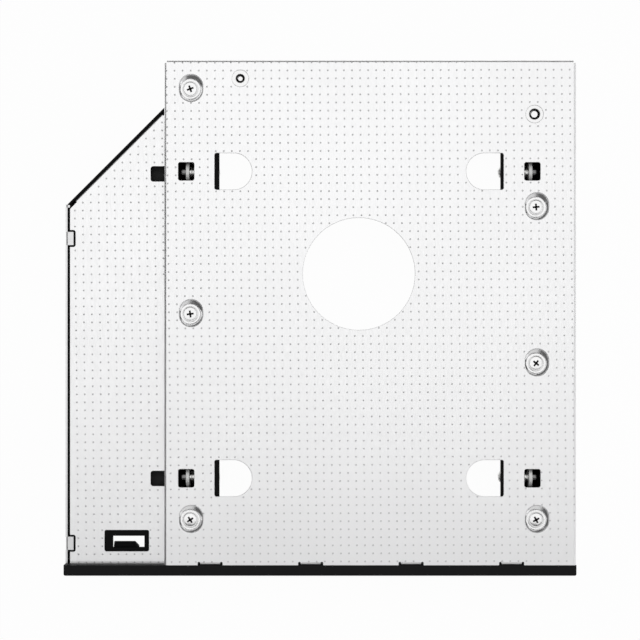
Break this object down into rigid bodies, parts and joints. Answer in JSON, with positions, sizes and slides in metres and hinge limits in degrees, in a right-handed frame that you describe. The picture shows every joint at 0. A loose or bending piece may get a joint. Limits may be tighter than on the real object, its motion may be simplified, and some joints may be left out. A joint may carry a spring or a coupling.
{
  "type": "laptop drive caddy",
  "caption": "Slim-bay tray that holds a small drive beside a recessed wing, with a dimpled sheet panel, black mouldings, captive clamp screws, a board with sockets and a bezel.",
  "frame": {"origin": "middle of the footprint on the plane that the open side rests on", "axes": "+X across to the straight side, away from the wing; +Y from the bezel to the rear plug; +Z out of the dimpled panel, which is the laptop's underside"},
  "size_m": [0.128, 0.1288, 0.0127],
  "materials": {
    "dimpled_sheet": "bright satin sheet with rows of small pressed dimples",
    "plain_sheet": "bright satin sheet",
    "black_moulding": "fine matte moulded texture",
    "bezel_moulding": "smooth satin black",
    "screw_steel": "nickel-plated steel",
    "stud_steel": "turned steel",
    "clamp_steel": "nickel-plated steel",
    "board": "green solder mask over glass laminate",
    "capacitor": "matte ceramic with tinned ends",
    "connector_housing": "moulded black plastic",
    "contact_metal": "gold-plated"
  },
  "bodies": {
    "caddy": {"base_plate": "dimpled_sheet", "side_cover": "plain_sheet", "left_frame": "black_moulding", "right_rail": "black_moulding", "bezel": "bezel_moulding", "base_screws": "screw_steel", "circuit_board": "board", "board_studs": "stud_steel", "board_screws": "screw_steel", "board_capacitors": "capacitor", "drive_receptacle": "connector_housing", "receptacle_contacts": "contact_metal", "rear_plug": "connector_housing", "rear_plug_contacts": "contact_metal"},
    "clamp_washer_rear_left": {"clamp_washer_rear_left": "clamp_steel"},
    "clamp_screw_rear_left": {"clamp_screw_rear_left": "clamp_steel"},
    "clamp_washer_rear_right": {"clamp_washer_rear_right": "clamp_steel"},
    "clamp_screw_rear_right": {"clamp_screw_rear_right": "clamp_steel"},
    "clamp_washer_front_left": {"clamp_washer_front_left": "clamp_steel"},
    "clamp_screw_front_left": {"clamp_screw_front_left": "clamp_steel"},
    "clamp_washer_front_right": {"clamp_washer_front_right": "clamp_steel"},
    "clamp_screw_front_right": {"clamp_screw_front_right": "clamp_steel"}
  },
  "joints": [
    {"name": "clamp_travel_rear_left", "type": "slide", "parent": "caddy", "child": "clamp_washer_rear_left", "axis": [1, 0, 0], "range_m": [0, 0.0023]},
    {"name": "clamp_turn_rear_left", "type": "hinge", "parent": "clamp_washer_rear_left", "child": "clamp_screw_rear_left", "pos_m": [-0.03315, 0.0366, 0.009], "axis": [1, 0, 0], "range_deg": [0, 1656]},
    {"name": "clamp_travel_rear_right", "type": "slide", "parent": "caddy", "child": "clamp_washer_rear_right", "axis": [-1, 0, 0], "range_m": [0, 0.0023]},
    {"name": "clamp_turn_rear_right", "type": "hinge", "parent": "clamp_washer_rear_right", "child": "clamp_screw_rear_right", "pos_m": [0.05275, 0.0366, 0.009], "axis": [-1, 0, 0], "range_deg": [0, 1656]},
    {"name": "clamp_travel_front_left", "type": "slide", "parent": "caddy", "child": "clamp_washer_front_left", "axis": [1, 0, 0], "range_m": [0, 0.0023]},
    {"name": "clamp_turn_front_left", "type": "hinge", "parent": "clamp_washer_front_left", "child": "clamp_screw_front_left", "pos_m": [-0.03315, -0.04, 0.009], "axis": [1, 0, 0], "range_deg": [0, 1656]},
    {"name": "clamp_travel_front_right", "type": "slide", "parent": "caddy", "child": "clamp_washer_front_right", "axis": [-1, 0, 0], "range_m": [0, 0.0023]},
    {"name": "clamp_turn_front_right", "type": "hinge", "parent": "clamp_washer_front_right", "child": "clamp_screw_front_right", "pos_m": [0.05275, -0.04, 0.009], "axis": [-1, 0, 0], "range_deg": [0, 1656]}
  ],
  "couplings": [
    {"joint": "clamp_turn_rear_left", "follows": "clamp_travel_rear_left", "rad_per_m": 12566},
    {"joint": "clamp_turn_rear_right", "follows": "clamp_travel_rear_right", "rad_per_m": 12566},
    {"joint": "clamp_turn_front_left", "follows": "clamp_travel_front_left", "rad_per_m": 12566},
    {"joint": "clamp_turn_front_right", "follows": "clamp_travel_front_right", "rad_per_m": 12566}
  ]
}
